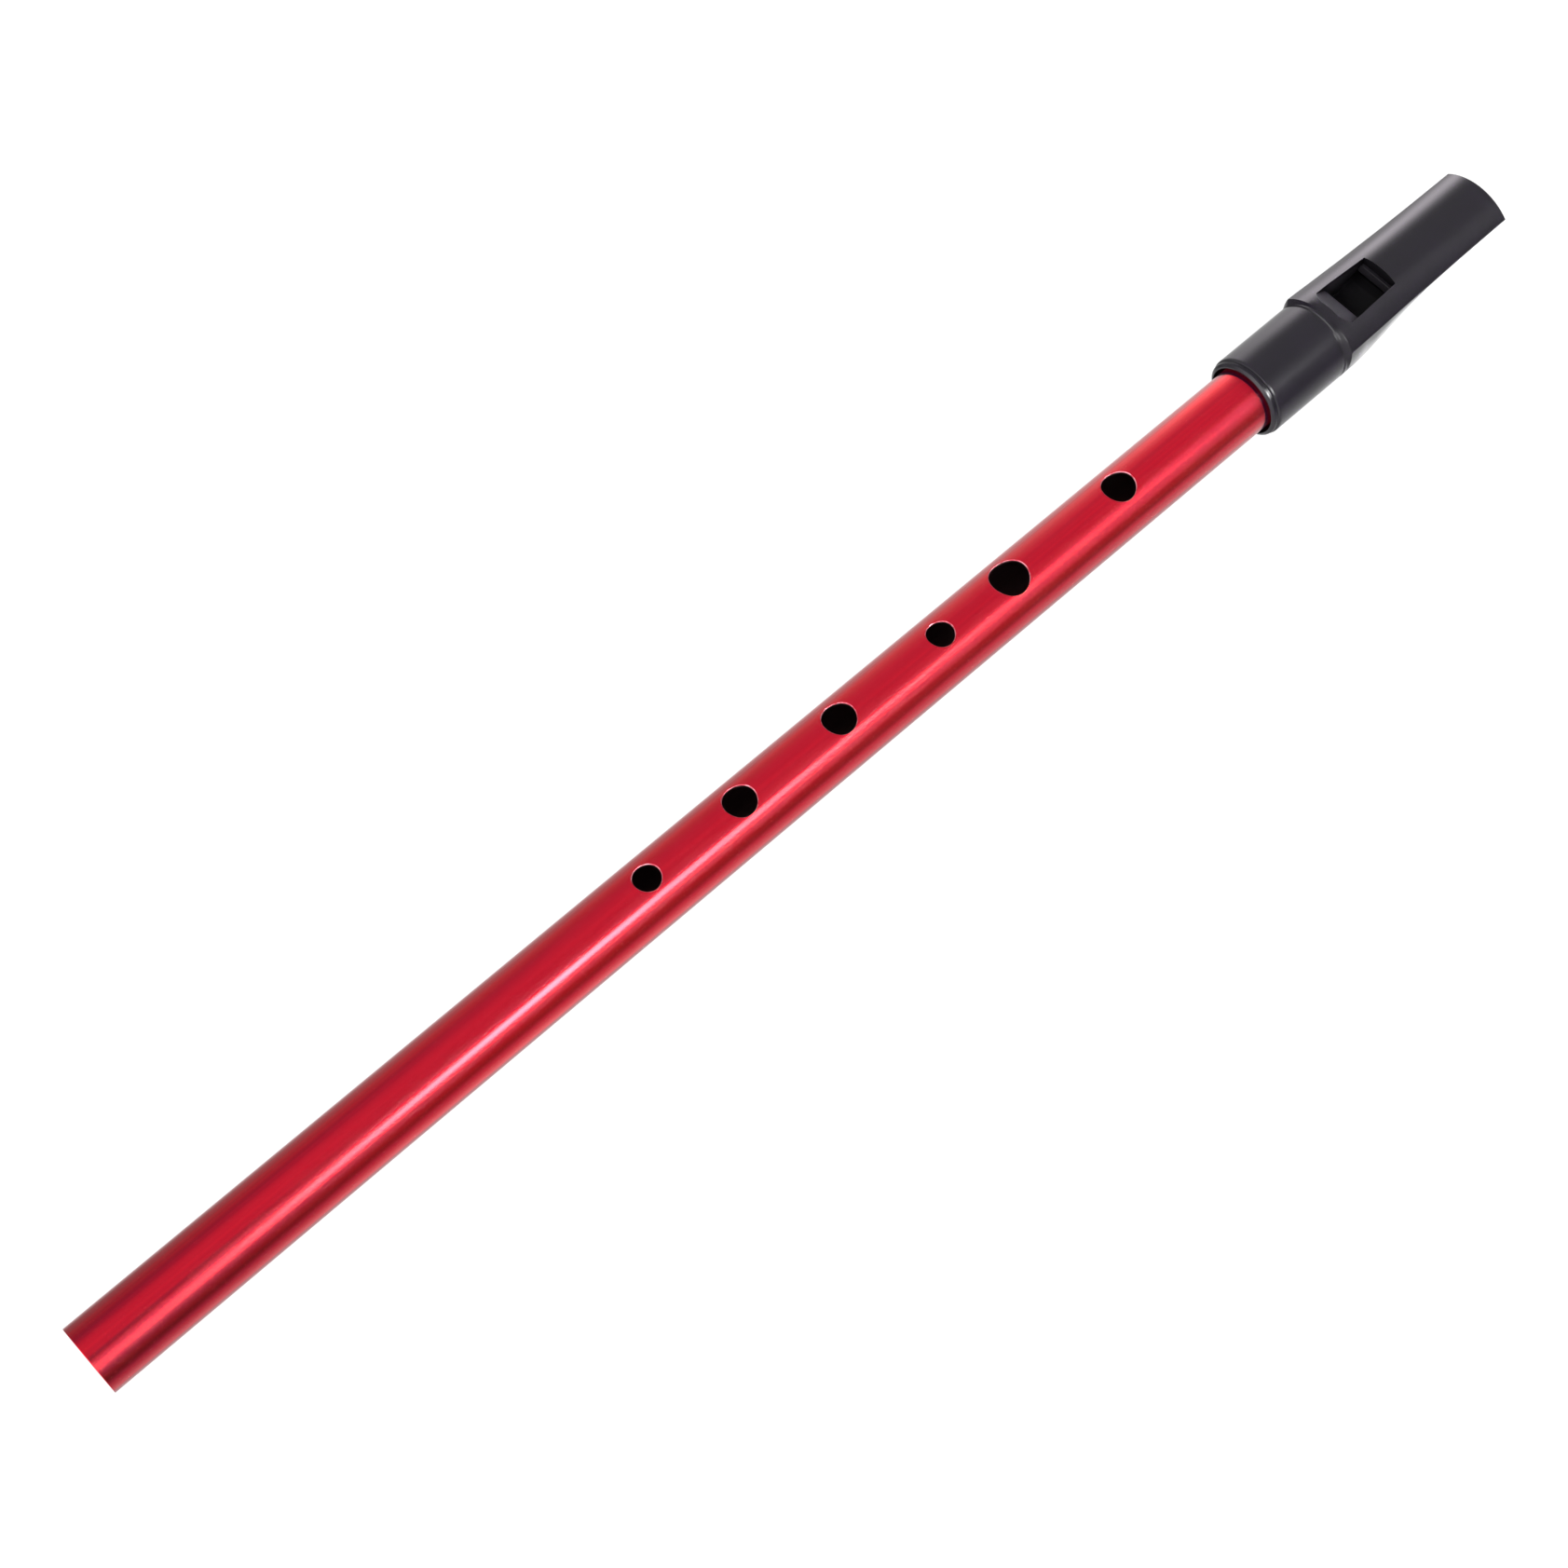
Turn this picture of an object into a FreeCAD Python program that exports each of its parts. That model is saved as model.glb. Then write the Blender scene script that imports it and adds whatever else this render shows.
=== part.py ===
import FreeCAD, Part
import math
import os
import Sketcher
from FreeCAD import Vector

# Tin whistle: a straight tube with six tone holes, and a moulded mouthpiece
# with a fipple plug that slides over its end. Millimetres.
# +X runs along the bore from the open foot to the beak tip, +Z goes out
# through the tone holes, and the origin is the bore centre at the foot.
# A name ending in _start lies nearer the foot than its partner in _end.

# ---------------------------------------------------------------- dimensions
# Tone holes: distance from the foot, radius.
TONE_HOLES = [
    (117.65, 2.54), (138.81, 3.07), (162.12, 3.11),
    (186.64, 2.57), (203.72, 3.65), (231.65, 3.16),
]

# Outside of the socket lip, from its open end on: name, X position, radius.
LIP_PROFILE = [
    ("nose1", 265.36, 7.48),
    ("nose2", 265.78, 7.96),
    ("ridge", 266.15, 8.04),
    ("groove1", 266.33, 7.84),
    ("groove2", 266.52, 7.86),
    ("body1", 266.74, 8.27),
]

# Beak sections, one row per station along X:
#   edge_y, edge_z  the sharp side edge; crown  the top of the roof
#   wall_y, wall_z  the lower end of the side wall; bulge  how far it bows out
#   keel            the lowest point on the centre line
BEAK_COLUMNS = ("pos", "edge_y", "edge_z", "crown", "wall_y", "wall_z", "bulge", "keel")
BEAK_STATIONS = [
    (284.50, 7.080, 3.830, 8.030, 6.150, -4.900, 1.200, -7.800),
    (285.70, 8.150, 4.420, 8.420, 6.700, -5.150, 0.950, -8.260),
    (286.80, 8.129, 4.381, 8.395, 6.805, -5.031, 0.896, -8.170),
    (287.90, 8.107, 4.341, 8.368, 6.911, -4.897, 0.838, -8.062),
    (289.00, 8.079, 4.297, 8.336, 7.018, -4.689, 0.758, -7.828),
    (290.10, 8.047, 4.249, 8.300, 7.128, -4.379, 0.655, -7.388),
    (291.20, 8.014, 4.215, 8.263, 7.241, -3.962, 0.566, -6.844),
    (292.30, 7.982, 4.195, 8.227, 7.366, -3.262, 0.499, -6.094),
    (293.40, 7.949, 4.179, 8.191, 7.490, -2.396, 0.436, -5.212),
    (294.50, 7.914, 4.163, 8.152, 7.600, -1.592, 0.366, -4.375),
    (295.60, 7.877, 4.147, 8.113, 7.714, -0.777, 0.286, -3.526),
    (296.70, 7.840, 4.133, 8.071, 7.786, -0.046, 0.215, -2.739),
    (297.80, 7.803, 4.121, 8.029, 7.782, 0.500, 0.167, -2.086),
    (298.90, 7.764, 4.111, 7.984, 7.756, 0.944, 0.130, -1.512),
    (300.00, 7.730, 4.100, 7.940, 7.725, 1.380, 0.100, -1.000),
    (301.10, 7.701, 4.089, 7.896, 7.695, 1.869, 0.075, -0.526),
    (302.20, 7.675, 4.078, 7.852, 7.665, 2.284, 0.058, -0.167),
    (303.30, 7.650, 4.069, 7.805, 7.639, 2.604, 0.044, 0.089),
    (305.20, 7.607, 4.053, 7.723, 7.597, 3.044, 0.030, 0.419),
    (308.00, 7.536, 4.012, 7.602, 7.526, 3.529, 0.030, 0.739),
    (311.50, 7.458, 4.003, 7.461, 7.448, 3.707, 0.028, 0.952),
    (316.00, 7.380, 4.020, 7.300, 7.370, 3.760, 0.020, 1.100),
    (321.00, 7.319, 4.050, 7.154, 7.309, 3.790, 0.020, 1.179),
    (326.00, 7.278, 4.069, 7.061, 7.268, 3.816, 0.020, 1.223),
    (330.55, 7.250, 4.080, 7.000, 7.240, 3.840, 0.020, 1.250),
]

# Chamber floor under the window, following the scooped underside: X, height.
CHAMBER_FLOOR = [
    (288.80, -5.30), (291.00, -4.25), (294.00, -2.15),
    (297.00, 0.05), (300.00, 1.55), (301.65, 2.10),
]

# Alias, value or formula, note. A formula uses only aliases set before it.
DIMENSIONS = [
    ("centre_line", 0.0, "bore centre line"),
    # Tube
    ("tube_radius", 6.5, "tube outer radius"),
    ("bore_radius", 6.0, "tube bore radius"),
    ("tube_length", 283.5, "tube length, the last part hidden in the socket"),
    ("tube_edge_round", 0.12, "rounding on the cut ends of the tube"),
    ("hole_edge_break", 0.14, "chamfer on the outer edge of each tone hole"),
    # Socket
    ("head_turn", 4.2, "turn of the mouthpiece on the tube, degrees"),
    ("mouth_start", 265.30, "open end of the socket lip"),
    ("mouth_radius", 7.20, "inner radius of the lip at its open end"),
    ("mouth_cut_start", "=mouth_start - 1", "start of the bore cut, clear of the lip"),
    ("flare_depth", 1.5, "length of the flare inside the lip"),
    ("flare_end", "=mouth_start + flare_depth", "end of the flare"),
    ("body2_pos", 267.1, "socket's full radius reached"),
    ("socket_radius", 8.3, "socket outer radius"),
    ("socket_end", 285.8, "tip-side end of the full round socket"),
    ("socket_bore", 6.55, "socket bore radius, running on the tube"),
    ("socket_stop", 285.5, "shoulder inside the socket, past the tube's end"),
    ("neck_start", 284.12, "fine groove near the beak, foot-side lip"),
    ("neck_floor1", 284.3, "that groove's floor, foot side"),
    ("neck_floor2", 284.62, "that groove's floor, tip side"),
    ("neck_end", 284.84, "that groove's tip-side lip"),
    ("neck_radius", 8.06, "that groove's floor radius"),
    ("lip_round", 0.07, "rounding of the lip, ridge and groove edges"),
    # Chamber
    ("chamber_radius", 5.8, "bore radius inside the mouthpiece"),
    ("round_end", 289.0, "end of the round part of the chamber"),
    ("chamber_width", "=4.6 * 2", "width of the chamber under the window"),
    ("ceiling_height", 5.15, "flat ceiling under the blade"),
    ("rail_height", 4.1, "underside of the rails beside the window"),
    # Window and ramp
    ("window_blade", 291.6, "blade edge"),
    ("ceiling_end", "=window_blade + 0.6", "end of the flat ceiling, past the blade"),
    ("window_far", f"=chamber{len(CHAMBER_FLOOR)}_pos", "window wall under the windway roof"),
    ("window_half_blade", 4.42, "half width of the window at the ramp"),
    ("window_half_far", 3.94, "half width of the window at the far wall"),
    ("window_cut_height", 3.6, "the window is cut from here upwards"),
    ("window_cut_depth", 8.0, "height of the window cut"),
    ("ramp_start", 287.4, "start of the ramp"),
    ("ramp_start_height", 8.15, "height of the ramp at its start"),
    ("blade_height", 5.50, "height of the blade edge"),
    ("ramp_overrun", 0.4, "the ramp cut runs this far past the blade"),
    ("ramp_end", "=window_blade + ramp_overrun", "end of the ramp cut"),
    ("ramp_end_height", "=blade_height - ramp_overrun * (ramp_start_height - blade_height)"
     " / (window_blade - ramp_start)", "height of the ramp at the end of its cut"),
    ("ramp_cut_top", 12.0, "top of the ramp cut, clear of the roof"),
    # Windway and plug
    ("tip_position", f"=beak{len(BEAK_STATIONS)}_pos", "beak tip"),
    ("windway_half", 3.9, "half width of the windway"),
    ("windway_floor", 4.6, "top of the plug"),
    ("windway_roof", 5.6, "underside of the windway roof"),
    ("windway_roof_mouth", 5.75, "the same at the beak tip"),
    ("windway_start", "=window_far - 1", "start of the windway cut, in the window"),
    ("windway_end", "=tip_position + 1", "end of the windway cut, past the tip"),
    ("plug_half", 4.3, "half width of the plug"),
    ("plug_bottom", 2.7, "underside of the plug"),
    ("plug_corner", 0.4, "rounding along the lower corners of the plug"),
    ("plug_recess", 0.25, "the plug's end sits this far inside the beak tip"),
    ("plug_length", "=tip_position - plug_recess - window_far", "length of the plug"),
    ("seat_start", "=window_far - 0.5", "start of the plug seat cut"),
    ("seat_length", "=tip_position - window_far + 3", "length of that cut, past the tip"),
]

doc = FreeCAD.newDocument("TinWhistle")
sheet = doc.addObject("Spreadsheet::Sheet", "Dims")


def numbered(prefix, columns, rows):
    """Dimension entries for a table, with aliases such as hole1_pos."""
    return [(f"{prefix}{i}_{column}", value, f"{prefix} {i}, {column}")
            for i, row in enumerate(rows, 1)
            for column, value in zip(columns, row)]


def arc_radii(i):
    """Radii of a beak section's arcs, from half chord c and rise: (c^2 + rise^2) / 2 rise."""
    b = f"beak{i}_"
    roof_rise = f"({b}crown - {b}edge_z)"
    under_rise = f"({b}wall_z - {b}keel)"
    wall_chord_squared = f"(({b}edge_y - {b}wall_y)^2 + ({b}edge_z - {b}wall_z)^2)"
    return [
        (b + "roof_rad", f"=({b}edge_y^2 + {roof_rise}^2) / (2 * {roof_rise})", "roof arc"),
        (b + "under_rad", f"=({b}wall_y^2 + {under_rise}^2) / (2 * {under_rise})",
         "underside arc"),
        (b + "wall_rad", f"=({wall_chord_squared} / 4 + {b}bulge^2) / (2 * {b}bulge)",
         "side wall arc"),
    ]


def fill_sheet():
    entries = numbered("hole", ("pos", "rad"), TONE_HOLES)
    entries += numbered("beak", BEAK_COLUMNS, BEAK_STATIONS)
    for i in range(1, len(BEAK_STATIONS) + 1):
        entries += arc_radii(i)
    entries += numbered("chamber", ("pos", "floor"), CHAMBER_FLOOR)
    for name, position, radius in LIP_PROFILE:
        entries.append((name + "_pos", position, f"lip {name}, position"))
        entries.append((name + "_rad", radius, f"lip {name}, radius"))
    entries += DIMENSIONS
    for row, (alias, value, note) in enumerate(entries, 1):
        sheet.set(f"A{row}", note)
        sheet.set(f"B{row}", value if isinstance(value, str) else repr(value))
        sheet.setAlias(f"B{row}", alias)
    doc.recompute()


# ------------------------------------------------------------------- helpers
# A dimension is passed by its alias; a leading minus sign negates it.
def dim(name):
    value = float(sheet.get(name.lstrip("-")))
    return -value if name.startswith("-") else value


def ref(name):
    return "-Dims." + name[1:] if name.startswith("-") else "Dims." + name


def sketch_on(body, name, role, offset=None):
    """Sketch on an origin plane of the body, moved along its normal by offset."""
    sketch = body.newObject("Sketcher::SketchObject", name)
    plane = next(f for f in body.Origin.OriginFeatures if f.Role == role)
    sketch.AttachmentSupport = [(plane, "")]
    sketch.MapMode = "FlatFace"
    if offset:
        sketch.setExpression("AttachmentOffset.Base.z", ref(offset))
    return sketch


def bind(sketch, index, label, name):
    sketch.renameConstraint(index, label)
    sketch.setExpression("Constraints." + label, ref(name))


def add_circle(sketch, label, radius, position=None):
    """Circle round the origin, or centred on the horizontal axis at position."""
    centre = Vector(dim(position) if position else 0, 0, 0)
    circle = sketch.addGeometry(Part.Circle(centre, Vector(0, 0, 1), dim(radius)), False)
    if position:
        sketch.addConstraint(Sketcher.Constraint("PointOnObject", circle, 3, -1))
        index = sketch.addConstraint(
            Sketcher.Constraint("DistanceX", -1, 1, circle, 3, dim(position)))
        bind(sketch, index, label + "_pos", position)
    else:
        sketch.addConstraint(Sketcher.Constraint("Coincident", circle, 3, -1, 1))
    index = sketch.addConstraint(Sketcher.Constraint("Radius", circle, dim(radius)))
    bind(sketch, index, label + "_rad", radius)


def closed_outline(sketch, corners, arcs=None):
    """Draw a closed outline whose corners and arc radii follow the sheet.

    corners: (horizontal alias, vertical alias) in order round the outline.
    arcs:    (mid point, radius alias) from each corner to the next;
             without arcs all sides are straight.
    """
    count = len(corners)
    points = [Vector(dim(x), dim(y), 0) for x, y in corners]
    shapes = []
    for k in range(count):
        start, end = points[k], points[(k + 1) % count]
        if arcs:
            shapes.append(Part.Arc(start, Vector(*arcs[k][0], 0), end))
        else:
            shapes.append(Part.LineSegment(start, end))
    geometry = list(sketch.addGeometry(shapes, False))

    # The sketcher keeps arcs counter-clockwise, so look up which end is which
    # before any constraint moves the geometry.
    ends = []
    for k, point in enumerate(points):
        drawn = sketch.Geometry[geometry[k]]
        forward = (drawn.StartPoint - point).Length < (drawn.EndPoint - point).Length
        ends.append((1, 2) if forward else (2, 1))

    constraints = []
    for k in range(count):
        following = (k + 1) % count
        constraints.append(Sketcher.Constraint(
            "Coincident", geometry[k], ends[k][1], geometry[following], ends[following][0]))
    bindings = []
    for k, (x, y) in enumerate(corners):
        for kind, name, label in (("DistanceX", x, "h"), ("DistanceY", y, "v")):
            bindings.append((len(constraints), f"corner{k}_{label}", name))
            constraints.append(
                Sketcher.Constraint(kind, -1, 1, geometry[k], ends[k][0], dim(name)))
    for k, (_, radius) in enumerate(arcs or []):
        bindings.append((len(constraints), f"radius{k}", radius))
        constraints.append(Sketcher.Constraint("Radius", geometry[k], dim(radius)))

    first = len(sketch.Constraints)
    sketch.addConstraint(constraints)
    for index, label, name in bindings:
        bind(sketch, first + index, label, name)
    if sketch.solve() != 0:
        raise RuntimeError(f"sketch {sketch.Name} doesn't solve")


def require_cut(body, feature, before):
    """A cut that misses its solid is silent, so compare the volumes."""
    doc.recompute()
    if not body.Shape.Volume < before - 1e-3:
        raise RuntimeError(f"{feature.Name} removed nothing")


def pad(body, name, profile, length):
    feature = body.newObject("PartDesign::Pad", name)
    feature.Profile = profile
    feature.setExpression("Length", length)
    doc.recompute()


def pocket(body, name, profile, length, direction):
    """Cut with direction "Midplane" (both ways) or "Reversed" (along the plane's normal)."""
    before = body.Shape.Volume
    feature = body.newObject("PartDesign::Pocket", name)
    feature.Profile = profile
    setattr(feature, direction, True)
    feature.setExpression("Length", length)
    require_cut(body, feature, before)


def turn(body, kind, name, profile):
    """Revolution or Groove round the bore axis."""
    feature = body.newObject("PartDesign::" + kind, name)
    feature.Profile = profile
    feature.ReferenceAxis = (profile, ["H_Axis"])
    feature.Angle = 360
    return feature


def ruled_loft(body, name, sections):
    loft = body.newObject("PartDesign::AdditiveLoft", name)
    loft.Profile = sections[0]
    loft.Sections = sections[1:]
    loft.Ruled = True
    doc.recompute()


def dress_edges(body, kind, name, wanted, setting, size):
    """Fillet or chamfer the edges of the body that pass the wanted test."""
    before = body.Shape.Volume
    base = body.Tip
    edges = [f"Edge{i}" for i, edge in enumerate(base.Shape.Edges, 1) if wanted(edge)]
    if not edges:
        raise RuntimeError(f"{name} found no edge")
    feature = body.newObject("PartDesign::" + kind, name)
    feature.Base = (base, edges)
    feature.setExpression(setting, ref(size))
    require_cut(body, feature, before)


def new_body(name, label):
    body = doc.addObject("PartDesign::Body", name)
    body.Label = label
    return body


# ---------------------------------------------------------------------- tube
def outer_hole_edge(edge):
    """Rim of a tone hole on the tube's outer surface."""
    if edge.Length > 30 or edge.BoundBox.ZMin < 4.5:
        return False
    middle = edge.valueAt((edge.FirstParameter + edge.LastParameter) / 2)
    on_surface = abs(math.hypot(middle.y, middle.z) - dim("tube_radius")) < 0.01
    return on_surface and 50 < middle.x < 250


def tube_end_edge(edge):
    box = edge.BoundBox
    return box.XLength < 0.01 and (box.XMin < 0.01 or box.XMin > dim("tube_length") - 0.01)


def build_tube():
    tube = new_body("ToneTube", "tone_tube")
    ring = sketch_on(tube, "TubeRing", "YZ_Plane")
    add_circle(ring, "outer", "tube_radius")
    add_circle(ring, "inner", "bore_radius")
    pad(tube, "TubePad", ring, "Dims.tube_length")

    holes = sketch_on(tube, "ToneHoles", "XY_Plane")
    for i in range(1, len(TONE_HOLES) + 1):
        add_circle(holes, f"hole{i}", f"hole{i}_rad", f"hole{i}_pos")
    pocket(tube, "ToneHolePocket", holes, "Dims.tube_radius * 2", "Reversed")

    dress_edges(tube, "Chamfer", "ToneHoleEdges", outer_hole_edge, "Size", "hole_edge_break")
    dress_edges(tube, "Fillet", "TubeEnds", tube_end_edge, "Radius", "tube_edge_round")
    return tube


# --------------------------------------------------------- mouthpiece: outside
def add_socket(shell):
    """Lip, fine rings and the full round length."""
    profile = sketch_on(shell, "SocketProfile", "XZ_Plane")
    closed_outline(profile, [
        ("mouth_start", "centre_line"),
        ("mouth_start", "mouth_radius"),
        *[(name + "_pos", name + "_rad") for name, _, _ in LIP_PROFILE],
        ("body2_pos", "socket_radius"),
        ("neck_start", "socket_radius"),
        ("neck_floor1", "neck_radius"),
        ("neck_floor2", "neck_radius"),
        ("neck_end", "socket_radius"),
        ("socket_end", "socket_radius"),
        ("socket_end", "centre_line"),
    ])
    turn(shell, "Revolution", "Socket", profile)
    doc.recompute()


def beak_section(shell, i):
    """One closed section of the beak: roof, two side walls, crowned underside."""
    b = f"beak{i}_"
    _, edge_y, edge_z, crown, wall_y, wall_z, bulge, keel = [
        dim(b + column) for column in BEAK_COLUMNS]
    chord = math.hypot(edge_y - wall_y, edge_z - wall_z)
    middle_y = (edge_y + wall_y) / 2 + (edge_z - wall_z) / chord * bulge
    middle_z = (edge_z + wall_z) / 2 - (edge_y - wall_y) / chord * bulge
    section = sketch_on(shell, f"BeakSection{i}", "YZ_Plane", b + "pos")
    closed_outline(section, [
        (b + "edge_y", b + "edge_z"),
        ("-" + b + "edge_y", b + "edge_z"),
        ("-" + b + "wall_y", b + "wall_z"),
        (b + "wall_y", b + "wall_z"),
    ], [
        ((0, crown), b + "roof_rad"),
        ((-middle_y, middle_z), b + "wall_rad"),
        ((0, keel), b + "under_rad"),
        ((middle_y, middle_z), b + "wall_rad"),
    ])
    return section


def add_beak(shell):
    """Beak from the second section to the tip, then the chamfer rising to it."""
    sections = [beak_section(shell, i) for i in range(1, len(BEAK_STATIONS) + 1)]
    doc.recompute()
    ruled_loft(shell, "Beak", sections[1:])
    ruled_loft(shell, "ShoulderChamfer", sections[:2])


# ---------------------------------------------------------- mouthpiece: inside
def cut_socket_bore(shell):
    """Flared mouth, running bore, tube stop and the round part of the chamber."""
    profile = sketch_on(shell, "SocketBoreProfile", "XZ_Plane")
    closed_outline(profile, [
        ("mouth_cut_start", "centre_line"),
        ("mouth_cut_start", "mouth_radius"),
        ("mouth_start", "mouth_radius"),
        ("flare_end", "socket_bore"),
        ("socket_stop", "socket_bore"),
        ("socket_stop", "chamber_radius"),
        ("round_end", "chamber_radius"),
        ("round_end", "centre_line"),
    ])
    before = shell.Shape.Volume
    bore = turn(shell, "Groove", "SocketBore", profile)
    require_cut(shell, bore, before)


def cut_chamber(shell):
    """Flat-sided chamber under the window."""
    side = sketch_on(shell, "ChamberSide", "XZ_Plane")
    closed_outline(side, [
        *[(f"chamber{i}_pos", f"chamber{i}_floor") for i in range(1, len(CHAMBER_FLOOR) + 1)],
        ("window_far", "rail_height"),
        ("ceiling_end", "rail_height"),
        ("ceiling_end", "ceiling_height"),
        ("chamber1_pos", "ceiling_height"),
    ])
    pocket(shell, "Chamber", side, "Dims.chamber_width", "Midplane")


def cut_window(shell):
    """Window through the roof, narrowing towards the tip, and the ramp to the blade."""
    outline = sketch_on(shell, "WindowOutline", "XY_Plane", "window_cut_height")
    closed_outline(outline, [
        ("window_blade", "-window_half_blade"),
        ("window_far", "-window_half_far"),
        ("window_far", "window_half_far"),
        ("window_blade", "window_half_blade"),
    ])
    pocket(shell, "Window", outline, "Dims.window_cut_depth", "Reversed")

    side = sketch_on(shell, "RampSide", "XZ_Plane")
    closed_outline(side, [
        ("ramp_start", "ramp_start_height"),
        ("ramp_end", "ramp_end_height"),
        ("ramp_end", "ramp_cut_top"),
        ("ramp_start", "ramp_cut_top"),
    ])
    pocket(shell, "Ramp", side, "Dims.window_half_blade * 2", "Midplane")


def cut_windway(shell):
    """Flat slot whose roof rises a little towards the tip."""
    side = sketch_on(shell, "WindwaySide", "XZ_Plane")
    closed_outline(side, [
        ("windway_start", "windway_floor"),
        ("windway_end", "windway_floor"),
        ("windway_end", "windway_roof_mouth"),
        ("windway_start", "windway_roof"),
    ])
    pocket(shell, "Windway", side, "Dims.windway_half * 2", "Midplane")


def plug_section(body, name, position):
    """Rectangle shared by the plug and its seat."""
    section = sketch_on(body, name, "YZ_Plane", position)
    closed_outline(section, [
        ("-plug_half", "plug_bottom"),
        ("plug_half", "plug_bottom"),
        ("plug_half", "windway_floor"),
        ("-plug_half", "windway_floor"),
    ])
    return section


def ring_edge(edge):
    """Circles at the lip's inner rim, the ridge, and the starts of body and neck."""
    box = edge.BoundBox
    if box.XLength > 0.01 or not hasattr(edge.Curve, "Radius"):
        return False
    rings = (("mouth_start", "mouth_radius"), ("ridge_pos", "ridge_rad"),
             ("body1_pos", "body1_rad"), ("neck_start", "socket_radius"))
    return any(abs(box.XMin - dim(position)) < 0.005
               and abs(edge.Curve.Radius - dim(radius)) < 0.005
               for position, radius in rings)


def build_shell():
    shell = new_body("MouthpieceShell", "mouthpiece_shell")
    add_socket(shell)
    add_beak(shell)
    cut_socket_bore(shell)
    cut_chamber(shell)
    cut_window(shell)
    cut_windway(shell)
    # Seat for the plug, open at the tip.
    seat = plug_section(shell, "PlugSeatEnd", "seat_start")
    pocket(shell, "PlugSeat", seat, "Dims.seat_length", "Reversed")
    dress_edges(shell, "Fillet", "RingEdges", ring_edge, "Radius", "lip_round")
    return shell


# ---------------------------------------------------------------- fipple plug
def lower_corner(edge):
    box = edge.BoundBox
    return box.XLength > 20 and box.ZMax < dim("plug_bottom") + 0.01


def build_plug():
    plug = new_body("FipplePlug", "fipple_plug")
    pad(plug, "PlugBlock", plug_section(plug, "PlugSection", "window_far"), "Dims.plug_length")
    dress_edges(plug, "Fillet", "PlugCorners", lower_corner, "Radius", "plug_corner")
    return plug


# ---------------------------------------------------------- assembly and export
def turn_head(bodies):
    """Turn the mouthpiece and its plug together on the tube."""
    for body in bodies:
        rotation = FreeCAD.Rotation(Vector(1, 0, 0), dim("head_turn"))
        body.Placement = FreeCAD.Placement(Vector(0, 0, 0), rotation)
        body.setExpression("Placement.Rotation.Angle", "Dims.head_turn * 1 deg")
    doc.recompute()


def check(bodies):
    """Every object is up to date, and the bodies are single solids that don't overlap."""
    for item in doc.Objects:
        if "Invalid" in item.State or "Error" in item.State:
            raise RuntimeError(f"{item.Name} is {item.State}")
    for body in bodies:
        shape = body.Shape
        if shape.isNull() or not shape.isValid() or len(shape.Solids) != 1:
            raise RuntimeError(f"{body.Label} isn't one valid solid")
    for i, body in enumerate(bodies):
        for other in bodies[i + 1:]:
            if body.Shape.common(other.Shape).Volume > 0.001:
                raise RuntimeError(f"{body.Label} and {other.Label} overlap")


fill_sheet()
tube = build_tube()
shell = build_shell()
plug = build_plug()
turn_head([shell, plug])
check([tube, shell, plug])

os.makedirs("parts", exist_ok=True)
for body in (tube, shell, plug):
    body.Shape.exportStep(f"parts/{body.Label}.step")
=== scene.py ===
"""A whistle: a red anodised tube with a black plastic mouthpiece shell and fipple plug.

It lies along X about the line y = z = 0, with its foot at x = 0 and the mouthpiece at +X.
Blender works in metres; sizes given in millimetres are scaled by MM.
"""

import math

import bpy
from mathutils import Matrix, Vector


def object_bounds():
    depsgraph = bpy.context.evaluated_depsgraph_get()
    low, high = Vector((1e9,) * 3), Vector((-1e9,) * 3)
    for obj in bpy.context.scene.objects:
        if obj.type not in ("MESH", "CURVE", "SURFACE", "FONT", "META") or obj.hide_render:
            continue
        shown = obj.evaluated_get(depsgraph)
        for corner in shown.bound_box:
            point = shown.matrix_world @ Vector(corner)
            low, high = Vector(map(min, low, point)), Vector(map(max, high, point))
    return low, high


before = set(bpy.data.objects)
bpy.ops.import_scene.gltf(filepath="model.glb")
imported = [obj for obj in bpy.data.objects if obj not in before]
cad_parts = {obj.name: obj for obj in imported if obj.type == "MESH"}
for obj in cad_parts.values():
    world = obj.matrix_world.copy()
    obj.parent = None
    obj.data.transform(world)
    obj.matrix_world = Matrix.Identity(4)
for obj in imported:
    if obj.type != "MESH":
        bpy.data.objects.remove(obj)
cad_lo, cad_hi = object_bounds()
MM = 0.001
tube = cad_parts["tone_tube"]
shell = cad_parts["mouthpiece_shell"]
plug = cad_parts["fipple_plug"]


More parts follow.
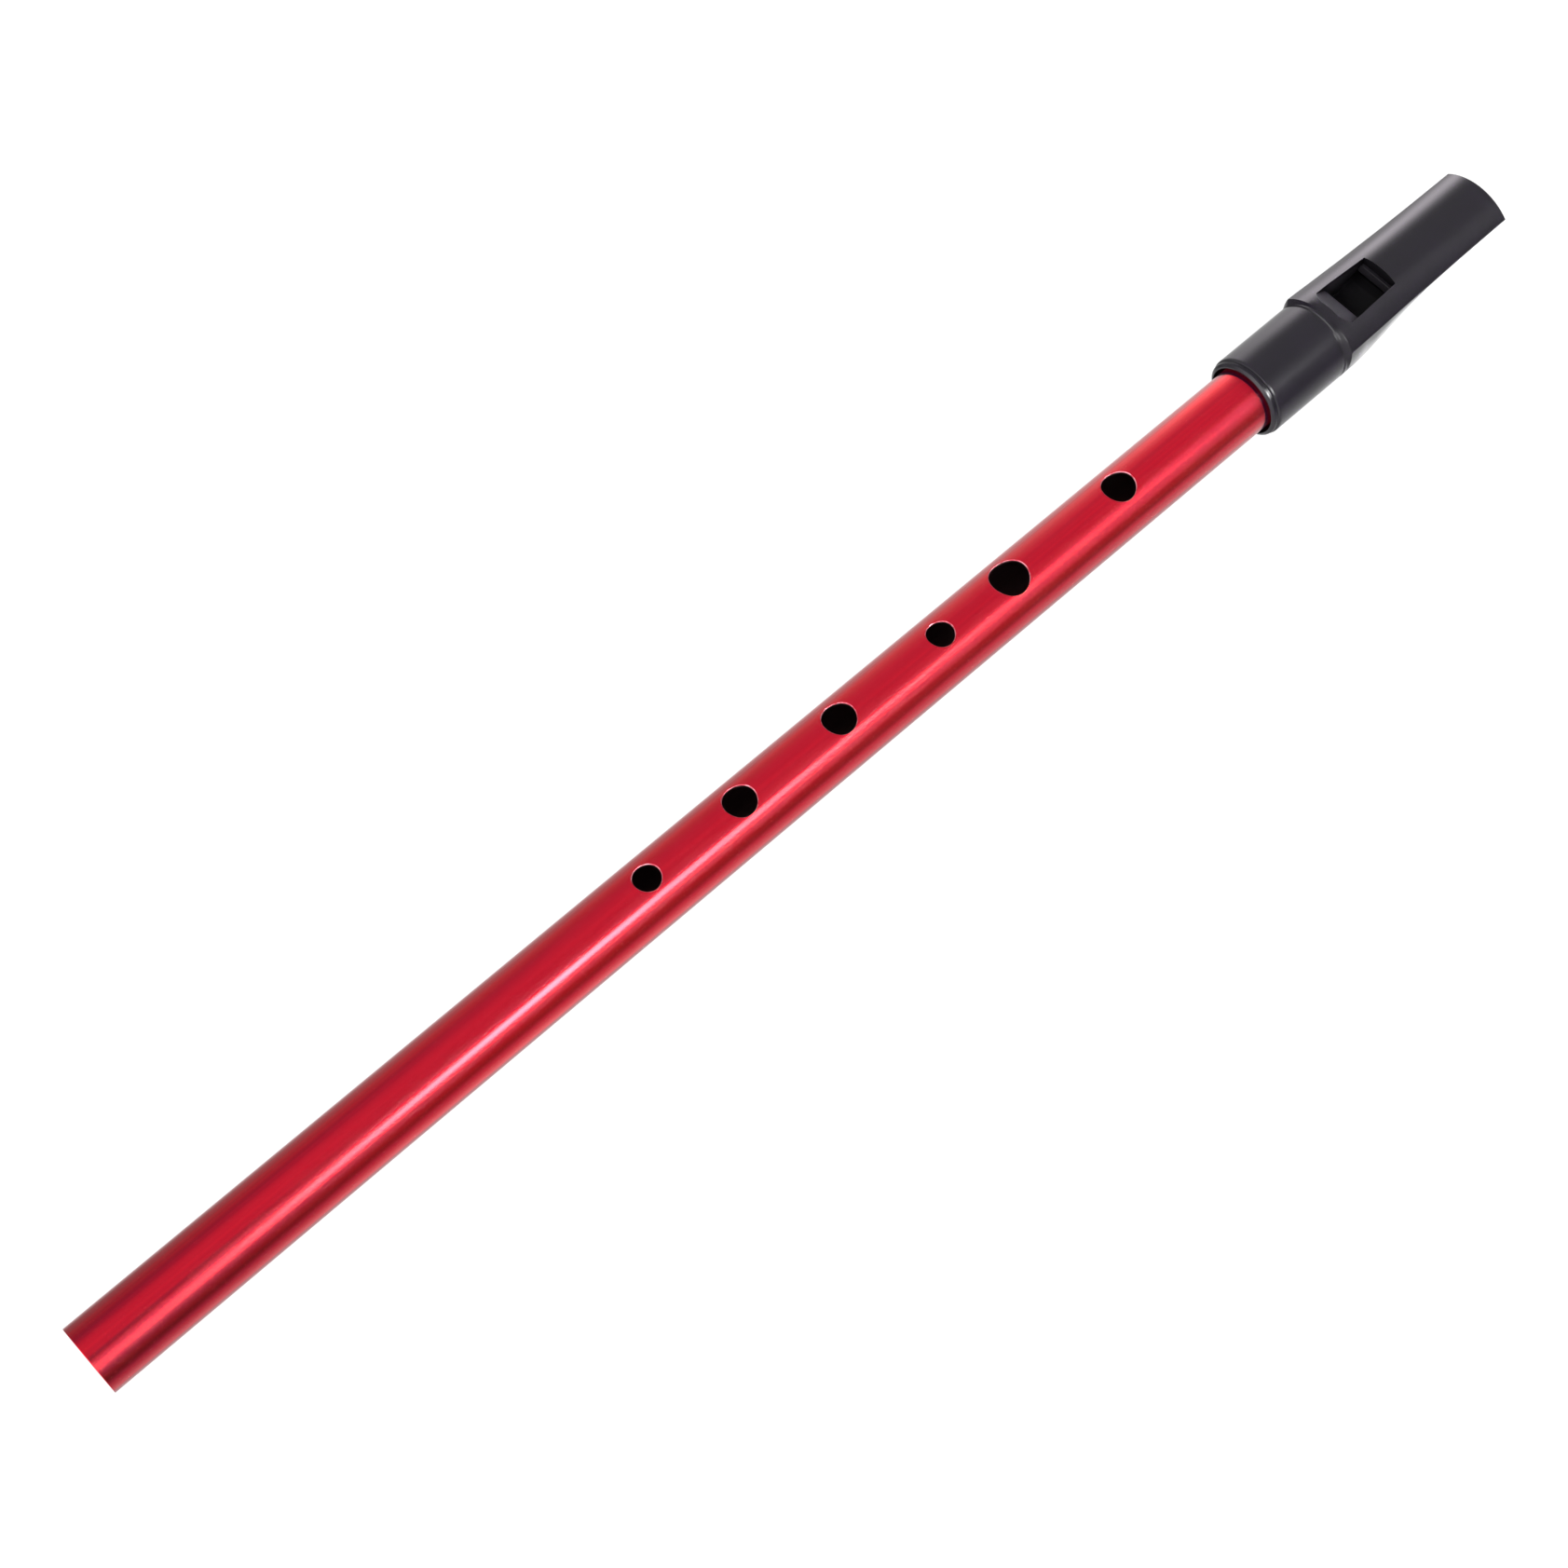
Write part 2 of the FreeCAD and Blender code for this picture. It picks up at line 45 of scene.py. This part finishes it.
# ------------------------------------------------------------------ node helper
class Nodes:
    """Builds a node tree. A value may be a number, an RGB tuple or an output socket."""

    def __init__(self, tree):
        self.tree = tree
        tree.nodes.clear()

    def val(self, socket, value):
        if isinstance(value, bpy.types.NodeSocket):
            self.tree.links.new(value, socket)
        elif isinstance(value, tuple):
            socket.default_value = (*value, 1.0)
        else:
            socket.default_value = value

    def set(self, node, inputs):
        for key, value in inputs.items():
            self.val(node.inputs[key], value)

    def new(self, kind, inputs=None, **props):
        """Add a node; inputs are keyed by name or index."""
        node = self.tree.nodes.new(kind)
        for name, value in props.items():
            setattr(node, name, value)
        self.set(node, inputs or {})
        return node

    def math(self, operation, *values):
        node = self.new("ShaderNodeMath", dict(enumerate(values)), operation=operation)
        return node.outputs[0]

    def add(self, a, b):
        return self.math("ADD", a, b)

    def sub(self, a, b):
        return self.math("SUBTRACT", a, b)

    def mul(self, a, b):
        return self.math("MULTIPLY", a, b)

    def swing(self, value, amount):
        """Turn a 0..1 value into a variation about zero, amount wide."""
        return self.mul(self.sub(value, 0.5), amount)

    def remap(self, value, span, to=(0.0, 1.0), kind="SMOOTHSTEP"):
        inputs = {"Value": value, "From Min": span[0], "From Max": span[1],
                  "To Min": to[0], "To Max": to[1]}
        return self.new("ShaderNodeMapRange", inputs, interpolation_type=kind).outputs["Result"]

    def gauss(self, value, centre, sigma):
        offset = self.math("DIVIDE", self.sub(value, centre), sigma)
        return self.math("EXPONENT", self.mul(self.mul(offset, offset), -0.5))

    def coord(self, name):
        return self.new("ShaderNodeTexCoord").outputs[name]

    def xyz(self, vector):
        return self.new("ShaderNodeSeparateXYZ", {0: vector}).outputs

    def combine(self, *parts):
        return self.new("ShaderNodeCombineXYZ", dict(enumerate(parts))).outputs[0]

    def noise(self, vector, scale, detail, rough):
        inputs = {"Vector": vector, "Scale": scale, "Detail": detail, "Roughness": rough}
        return self.new("ShaderNodeTexNoise", inputs).outputs["Fac"]

    def streaks(self, coords, stretch, detail, rough, layer=None):
        """Noise with its own frequency on each axis; layer is the z of a 2D pattern."""
        parts = [self.mul(coord, factor) for coord, factor in zip(coords, stretch)]
        if layer is not None:
            parts.append(layer)
        return self.noise(self.combine(*parts), scale=1.0, detail=detail, rough=rough)

    def mix(self, factor, low, high):
        """Colour that runs from low at factor 0 to high at factor 1."""
        return self.new("ShaderNodeMix", {0: factor, 6: low, 7: high}, data_type="RGBA").outputs[2]

    def ramp(self, factor, stops):
        """Linear grey ramp through (position, level) stops."""
        node = self.new("ShaderNodeValToRGB", {0: factor})
        node.color_ramp.interpolation = "LINEAR"
        elements = node.color_ramp.elements
        while len(elements) > 1:
            elements.remove(elements[-1])
        elements[0].position = stops[0][0]
        for i, (position, level) in enumerate(stops):
            element = elements[0] if i == 0 else elements.new(position)
            element.color = (level, level, level, 1.0)
        return node.outputs[0]

    def openness(self, samples, distance, power):
        """1 on open surface, falling to 0 within distance of other faces."""
        node = self.new("ShaderNodeAmbientOcclusion", {"Distance": distance}, samples=samples)
        return self.math("POWER", node.outputs["AO"], power)

    def bump(self, height, strength, distance, normal=None):
        inputs = {"Strength": strength, "Distance": distance, "Height": height}
        if normal is not None:
            inputs["Normal"] = normal
        return self.new("ShaderNodeBump", inputs).outputs[0]


def material(name):
    mat = bpy.data.materials.new(name)
    mat.use_nodes = True
    return mat, Nodes(mat.node_tree)


def principled(name):
    """A material with a Principled shader wired to its output."""
    mat, n = material(name)
    shader = n.new("ShaderNodeBsdfPrincipled")
    n.new("ShaderNodeOutputMaterial", {"Surface": shader.outputs[0]})
    return mat, n, shader


def paint(obj, *mats):
    obj.data.materials.clear()
    for mat in mats:
        obj.data.materials.append(mat)


# ------------------------------------------------------------------ tube materials
def anodised():
    mat, n, shader = principled("anodised_red")
    x, y, z = n.xyz(n.coord("Object"))
    polar = (x, n.math("ARCTAN2", y, z))
    # Drawing marks run along the tube: noise stretched over x and the angle round the axis.
    fine = n.streaks(polar, stretch=(14.0, 60.0), detail=3.0, rough=0.6, layer=0.0)
    broad = n.streaks(polar, stretch=(5.0, 9.0), detail=2.0, rough=0.5, layer=3.7)
    patch = n.streaks(polar, stretch=(45.0, 2.5), detail=3.0, rough=0.5, layer=9.1)
    dye_and_painted_shade = n.mix(n.remap(broad, span=(0.35, 0.65)),
                low=(0.60, 0.0030, 0.0046), high=(0.66, 0.0046, 0.0064))
    dye_and_painted_shade = n.mix(n.remap(patch, span=(0.4, 0.7), to=(0.0, 0.25)),
                low=dye_and_painted_shade, high=(0.52, 0.0022, 0.0040))
    # Painted shade: the colour darkens close to the socket lip, where the plastic hides the light.
    is_open = n.openness(samples=6, distance=0.004, power=3.0)
    dye_and_painted_shade = n.mix(is_open, low=(0.16, 0.0012, 0.0024), high=dye_and_painted_shade)
    mean_rough = 0.10
    rough = n.add(mean_rough, n.swing(fine, amount=0.06))
    rough = n.add(rough, n.swing(patch, amount=0.04))
    facing = n.new("ShaderNodeLayerWeight", {"Blend": 0.5}).outputs["Facing"]
    # Painted sheen: a faint blue glow on faces turned a set way turns the red to crimson where the
    # highlights fall.
    # Lean is how far a face turns towards +Y and slightly up.
    _, normal_y, normal_z = n.xyz(n.coord("Normal"))
    toward_y, toward_z = 0.93, 0.37
    lean = n.add(n.mul(normal_y, toward_y), n.mul(normal_z, toward_z))
    glow = n.add(n.remap(lean, span=(-0.58, -0.32), to=(0.10, 0.90)),
                 n.remap(lean, span=(-0.17, -0.02), to=(0.0, -0.40)))
    glow = n.add(glow, n.add(n.remap(lean, span=(0.50, 0.80), to=(0.0, -0.30)),
                             n.remap(lean, span=(-0.64, -0.76), to=(0.0, 0.35))))
    # Painted reflection: in the gap under the socket lip the glow turns dark red at full strength,
    # standing in for light passed between tube and plastic.
    glow = n.add(n.mul(glow, is_open), n.sub(1.0, is_open))
    n.set(shader, {
        "Base Color": dye_and_painted_shade,
        "Metallic": 1.0,
        "Roughness": rough,
        "Coat Weight": n.remap(facing, span=(0.15, 0.55), to=(0.27, 0.68)),
        "Coat Roughness": 0.36,
        "Coat IOR": 1.5,
        # The emission is painted light: a blue sheen on open faces and a dark red glow in the gap
        # under the lip.
        "Emission Color": n.mix(is_open, low=(0.050, 0.0008, 0.0025), high=(0.0, 0.0, 0.03)),
        "Emission Strength": glow,
        "Normal": n.bump(fine, strength=0.10, distance=0.00002),
    })
    return mat


def rim_metal():
    mat, n, shader = principled("tone_hole_edge")
    place = n.coord("Object")
    worn = n.noise(place, scale=900.0, detail=3.0, rough=0.6)
    cut = n.noise(place, scale=4200.0, detail=2.0, rough=0.5)
    least_rough, cut_rough = 0.34, 0.18
    n.set(shader, {
        "Base Color": n.mix(n.remap(worn, span=(0.38, 0.62)),
                            low=(0.60, 0.24, 0.28), high=(0.42, 0.05, 0.075)),
        "Metallic": 1.0,
        "Roughness": n.add(least_rough, n.mul(cut, cut_rough)),
        "Normal": n.bump(cut, strength=0.15, distance=0.00002),
    })
    return mat


def bore_metal():
    mat, n, shader = principled("tube_bore")
    place = n.xyz(n.coord("Object"))
    draw = n.streaks(place, stretch=(20.0, 900.0, 900.0), detail=3.0, rough=0.6)
    least_rough, draw_rough = 0.42, 0.16
    n.set(shader, {
        "Base Color": n.mix(draw, low=(0.030, 0.016, 0.016), high=(0.060, 0.024, 0.026)),
        "Metallic": 0.55,
        "Roughness": n.add(least_rough, n.mul(draw, draw_rough)),
        "Specular IOR Level": 0.35,
        "Normal": n.bump(draw, strength=0.2, distance=0.00002),
    })
    return mat


# ------------------------------------------------------------------ black plastic
def plastic(name, base=(0.0030, 0.0018, 0.0048), mean_rough=0.17, spec=0.43,
            bevel=0.0, vary=1.0, shade_reach=0.0):
    """Moulded plastic; vary scales its unevenness, bevel and shade_reach (the reach of painted
    shade) are in metres.
    """
    mat, n, shader = principled(name)
    place = n.coord("Object")
    cloud = n.noise(place, scale=90.0, detail=3.0, rough=0.5)
    grain = n.noise(place, scale=5200.0, detail=2.0, rough=0.6)
    axes = n.xyz(place)
    # Flow marks run along the moulding; handling marks are much finer along x.
    flow = n.streaks(axes, stretch=(40.0, 260.0, 260.0), detail=3.0, rough=0.55)
    rub = n.streaks(axes, stretch=(900.0, 240.0, 240.0), detail=4.0, rough=0.7)
    clouded, rubbed = (tuple(part * gain for part in base) for gain in (1.5, 3.0))
    colour = n.mix(n.remap(cloud, span=(0.35, 0.7)), low=base, high=clouded)
    colour = n.mix(n.remap(rub, span=(0.60, 0.80), to=(0.0, 0.35 * vary)),
                   low=colour, high=rubbed)
    level = spec
    if shade_reach > 0.0:
        # Painted shade: corners and pockets darken in colour and specular within a few millimetres
        # of a wall.
        is_open = n.openness(samples=8, distance=shade_reach, power=2.2)
        colour = n.mix(is_open, low=(0.0012, 0.0011, 0.0014), high=colour)
        level = n.mul(n.remap(is_open, span=(0.0, 1.0), to=(0.12, 1.0), kind="LINEAR"), spec)
    rough = n.add(mean_rough, n.swing(cloud, amount=0.10 * vary))
    rough = n.add(rough, n.swing(flow, amount=0.08 * vary))
    rounded = None
    if bevel > 0.0:
        rounded = n.new("ShaderNodeBevel", {"Radius": bevel}, samples=6).outputs[0]
    grained = n.bump(grain, strength=0.12, distance=0.00002, normal=rounded)
    n.set(shader, {
        "Base Color": colour,
        "Roughness": rough,
        "IOR": 1.46,
        "Specular IOR Level": level,
        "Normal": n.bump(flow, strength=0.12, distance=0.00004, normal=grained),
    })
    return mat


# ------------------------------------------------------------------ tube faces
OUTSIDE, EDGE, BORE = range(3)  # material slots of the tube
SKIN_DEPTH = 0.15               # mm below the outer radius that still counts as outside
EDGE_DEPTH = 0.45               # mm below the outer radius that a hole's edge reaches
HOLES_X = (2.0, 280.0)          # mm, stretch in which hole edges are bare
END_FACES_X = (1.0, 282.0)      # mm, end faces lie outside these


def tube_slot(poly, outer_radius):
    centre, normal = poly.center / MM, poly.normal
    radius = math.hypot(centre.y, centre.z)
    outward = (normal.y * centre.y + normal.z * centre.z) / max(radius, 1e-6)
    if outward > 0.985 and radius > outer_radius - SKIN_DEPTH:
        return OUTSIDE
    if radius > outer_radius - EDGE_DEPTH and outward > 0.30:
        return EDGE if HOLES_X[0] < centre.x < HOLES_X[1] else OUTSIDE
    if abs(normal.x) > 0.9 and (centre.x < END_FACES_X[0] or centre.x > END_FACES_X[1]):
        return EDGE
    return BORE


paint(tube, anodised(), rim_metal(), bore_metal())
tube_radius = max(math.hypot(v.co.y, v.co.z) for v in tube.data.vertices) / MM
for poly in tube.data.polygons:
    poly.material_index = tube_slot(poly, tube_radius)

# ------------------------------------------------------------------ shell faces
MOULDED, INSIDE, RAMP = range(3)  # material slots of the shell
HEAD_TURN = math.radians(4.2)     # turn of the mouthpiece about X
HEAD_COS, HEAD_SIN = math.cos(HEAD_TURN), math.sin(HEAD_TURN)
RISE_START = 286.0                # mm, where the middle line starts to rise
RISE_LENGTH, RISE = 16.0, 4.0     # mm
RAMP_END, RAMP_HALF_WIDTH = 293.5, 4.62                      # mm
POCKET_X, POCKET_HALF_WIDTH, POCKET_RADIUS = (267.0, 329.0), 4.7, 6.5  # mm
SMOOTH_START = 0.2858             # m, corner normals are averaged beyond this x


def head(v):
    """Vector in the mouthpiece's own frame, which is turned about the axis."""
    return Vector((v.x, v.y * HEAD_COS + v.z * HEAD_SIN, -v.y * HEAD_SIN + v.z * HEAD_COS))


def mid_height(x):
    t = min(max((x - RISE_START) / RISE_LENGTH, 0.0), 1.0)
    return RISE * t * t * (3.0 - 2.0 * t)


def shell_slot(poly):
    centre, normal = head(poly.center / MM), head(poly.normal)
    offset = Vector((0.0, centre.y, centre.z - mid_height(centre.x)))
    outward = normal.dot(offset) / max(offset.length, 1e-6)
    on_ramp = RISE_START < centre.x < RAMP_END and abs(centre.y) < RAMP_HALF_WIDTH
    if on_ramp and normal.x > 0.15 and normal.z > 0.4:
        return RAMP
    in_pocket = (POCKET_X[0] < centre.x < POCKET_X[1] and abs(centre.y) < POCKET_HALF_WIDTH
                 and offset.length < POCKET_RADIUS)
    if outward < -0.2 or (abs(normal.x) > 0.9 and in_pocket):
        return INSIDE
    return MOULDED


def point_key(point):
    """Position to the micrometre, shared by vertices that coincide."""
    return tuple(round(part * 1e6) for part in point)


def smooth_normals(obj, limit, start):
    """Average corner normals of slot 0 beyond start, over faces within limit degrees."""
    mesh = obj.data
    cos_limit = math.cos(math.radians(limit))
    around = {}  # point key: (face normal, corner angle) of every face that meets there
    for poly in mesh.polygons:
        if poly.area < 1e-12:
            continue
        corners = [mesh.vertices[i].co for i in poly.vertices]
        for k, here in enumerate(corners):
            back = corners[k - 1] - here
            ahead = corners[(k + 1) % len(corners)] - here
            if back.length < 1e-9 or ahead.length < 1e-9:
                continue
            entry = (poly.normal.copy(), back.angle(ahead))
            around.setdefault(point_key(here), []).append(entry)
    normals = [Vector(corner.vector) for corner in mesh.corner_normals]
    for poly in mesh.polygons:
        if poly.material_index != 0 or poly.center.x < start:
            continue
        for loop in poly.loop_indices:
            here = mesh.vertices[mesh.loops[loop].vertex_index].co
            total = Vector((0.0, 0.0, 0.0))
            for other, weight in around.get(point_key(here), ()):
                if other.dot(poly.normal) > cos_limit:
                    total += other * weight
            normals[loop] = total.normalized() if total.length > 1e-9 else poly.normal.copy()
    mesh.normals_split_custom_set(normals)


# Faces of the shell that look into the pockets are left as moulded; their lighter base is painted
# light for the little light that reaches into the cavity, and shade_reach adds painted shade near
# the walls.
paint(
    shell,
    plastic("shell_black", bevel=0.00007),
    plastic("shell_inside", base=(0.0085, 0.0076, 0.0095), mean_rough=0.34, spec=0.15,
            shade_reach=0.009),
    # The ramp is the same black plastic; its much lighter base is painted light, and shade_reach
    # paints the shade its side walls cast on it.
    plastic("labium_ramp", base=(0.0300, 0.0275, 0.0335), mean_rough=0.30, spec=0.80,
            vary=1.6, shade_reach=0.0015),
)
for poly in shell.data.polygons:
    poly.material_index = shell_slot(poly)
smooth_normals(shell, limit=24.0, start=SMOOTH_START)

paint(plug, plastic("plug_black", base=(0.0170, 0.0155, 0.0190), mean_rough=0.30, spec=0.45,
                    bevel=0.00018))

# ------------------------------------------------------------------ floor
FLOOR_HALF = 3.0    # m
FLOOR_GAP = 0.0002  # m below the lowest point of the whistle


def pale_floor():
    mat, n = material("pale_floor")
    glow = n.new("ShaderNodeEmission", {"Color": (1.0, 1.0, 1.0), "Strength": 0.98})
    matt = n.new("ShaderNodeBsdfDiffuse", {"Color": (0.06, 0.06, 0.06)})
    both = n.new("ShaderNodeAddShader", {0: glow.outputs[0], 1: matt.outputs[0]})
    n.new("ShaderNodeOutputMaterial", {"Surface": both.outputs[0]})
    return mat


floor_mesh = bpy.data.meshes.new("floor")
floor_mesh.from_pydata(
    [(FLOOR_HALF * x, FLOOR_HALF * y, cad_lo.z - FLOOR_GAP)
     for x, y in ((-1, -1), (1, -1), (1, 1), (-1, 1))],
    [], [(0, 1, 2, 3)])
floor = bpy.data.objects.new("floor", floor_mesh)
bpy.context.scene.collection.objects.link(floor)
floor_mesh.materials.append(pale_floor())
floor.visible_glossy = False

# ------------------------------------------------------------------ studio light
# Angles are degrees round the whistle's axis: 0 is straight up, positive towards -Y.
# Places along the whistle are the x component of the light's direction.

# Soft surroundings: (angle, brightness).
PROFILE = [
    (-180, 0.70), (-165, 0.85), (-137, 0.84), (-118, 0.76), (-97, 0.80), (-87, 0.90),
    (-77, 0.94), (-67, 0.90), (-57, 0.86), (-47, 0.82), (-37, 0.79), (-27, 0.80),
    (-17, 0.84), (-7, 0.86), (3, 0.84), (13, 0.82), (22, 0.86), (32, 1.10),
    (42, 1.30), (51, 1.34), (59, 1.24), (67, 1.04), (75, 0.84), (83, 0.64),
    (89, 0.55), (95, 0.46), (101, 0.36), (107, 0.52), (114, 0.68), (124, 0.80),
    (148, 0.84), (180, 0.56),
]
PROFILE_TOP = 2.0  # brightness stored as 1 in the ramp
# Soft boxes: angle, its spread, place, its spread, strength (negative dims), share of green.
BOXES = [
    (51.5, 4.9, 0.203, 0.057, 120.0, 1.0),
    (51.0, 5.5, 0.33, 0.060, 11.0, 1.0),
    (59.0, 13.0, 0.575, 0.042, -0.52, 1.0),
    (50.0, 8.0, 0.505, 0.028, -0.40, 1.0),
    (148.0, 12.0, 0.18, 0.08, 0.35, 1.0),
    (-74.0, 12.0, 0.60, 0.042, 5.4, 0.92),
    (-92.0, 16.0, 0.53, 0.035, 1.0, 0.92),
    (178.0, 28.0, 0.63, 0.05, 3.4, 1.0),
    (-174.0, 10.0, 0.63, 0.05, 3.0, 1.0),
]


def studio(n):
    along, dir_y, dir_z = n.xyz(n.coord("Generated"))
    angle = n.mul(n.math("ARCTAN2", n.mul(dir_y, -1.0), dir_z), 180.0 / math.pi)
    turn = n.math("DIVIDE", n.add(angle, 180.0), 360.0)
    stops = [((degrees + 180.0) / 360.0, level / PROFILE_TOP) for degrees, level in PROFILE]
    base = n.mul(n.ramp(turn, stops), PROFILE_TOP)

    def band(rise, fall):
        """1 between two angle ranges, with soft ends."""
        return n.mul(n.remap(angle, span=rise), n.remap(angle, span=fall, to=(1.0, 0.0)))

    def fade_in(light, where, fade):
        return n.mul(light, n.add(1.0, n.mul(where, n.sub(fade, 1.0))))

    # Both flanks of the surroundings are dimmer at the foot than at the mouthpiece.
    base = fade_in(base, band(rise=(-150.0, -115.0), fall=(-55.0, -20.0)),
                   n.remap(along, span=(-0.05, 0.47), to=(0.42, 1.06), kind="LINEAR"))
    base = fade_in(base, band(rise=(52.0, 78.0), fall=(98.0, 160.0)),
                   n.remap(along, span=(-0.02, 0.20), to=(0.48, 1.0)))
    # A narrow dark strip near the top, strongest towards the foot.
    notch = n.mul(n.gauss(angle, centre=22.0, sigma=6.0),
                  n.remap(along, span=(0.0, 0.15), to=(0.48, 0.0)))
    base = n.mul(base, n.sub(1.0, notch))

    channels = [base] * 3
    for box_angle, angle_spread, place, place_spread, power, green in BOXES:
        box = n.mul(n.gauss(angle, box_angle, angle_spread), n.gauss(along, place, place_spread))
        channels = [n.add(level, n.mul(box, power * share))
                    for level, share in zip(channels, (1.0, green, 1.0))]
    # A broad panel beyond the foot lights the faces that look along the tube.
    all_round = 0.45
    panel = n.mul(n.add(n.remap(along, span=(-0.22, -0.42), to=(0.0, 0.7)),
                        n.remap(along, span=(-0.58, -0.78), to=(0.0, 1.2))),
                  n.add(all_round, n.gauss(angle, centre=25.0, sigma=55.0)))
    channels = [n.add(level, panel) for level in channels]
    # The camera itself sees plain white.
    seen = n.new("ShaderNodeLightPath").outputs["Is Camera Ray"]
    colour = n.mix(seen, low=n.combine(*channels), high=(1.0, 1.0, 1.0))
    sky = n.new("ShaderNodeBackground", {"Color": colour})
    n.new("ShaderNodeOutputWorld", {"Surface": sky.outputs[0]})


world = bpy.data.worlds.new("studio")
bpy.context.scene.world = world
world.use_nodes = True
studio(Nodes(world.node_tree))
world.cycles.sampling_method = "NONE"

# ------------------------------------------------------------------ camera
CAMERA_PLACE = Vector((1.697, -175.933, 420.366)) * MM
CAMERA_RIGHT = (0.73118051, -0.68155741, -0.02923288)
CAMERA_FORWARD = (0.30694088, 0.36695338, -0.87814151)

lens = bpy.data.cameras.new("photo_camera")
lens.sensor_fit = "HORIZONTAL"
lens.sensor_width = 36.0
lens.lens = 63.515936
lens.clip_start, lens.clip_end = 0.01, 20.0
right = Vector(CAMERA_RIGHT).normalized()
forward = Vector(CAMERA_FORWARD).normalized()
right = (right - forward * right.dot(forward)).normalized()
up = right.cross(forward)
rotation = Matrix((right, up, -forward)).transposed()
camera = bpy.data.objects.new("photo_camera", lens)
camera.matrix_world = Matrix.Translation(CAMERA_PLACE) @ rotation.to_4x4()
scene = bpy.context.scene
scene.collection.objects.link(camera)
scene.camera = camera
scene.view_settings.view_transform = "Standard"
scene.view_settings.look = "None"
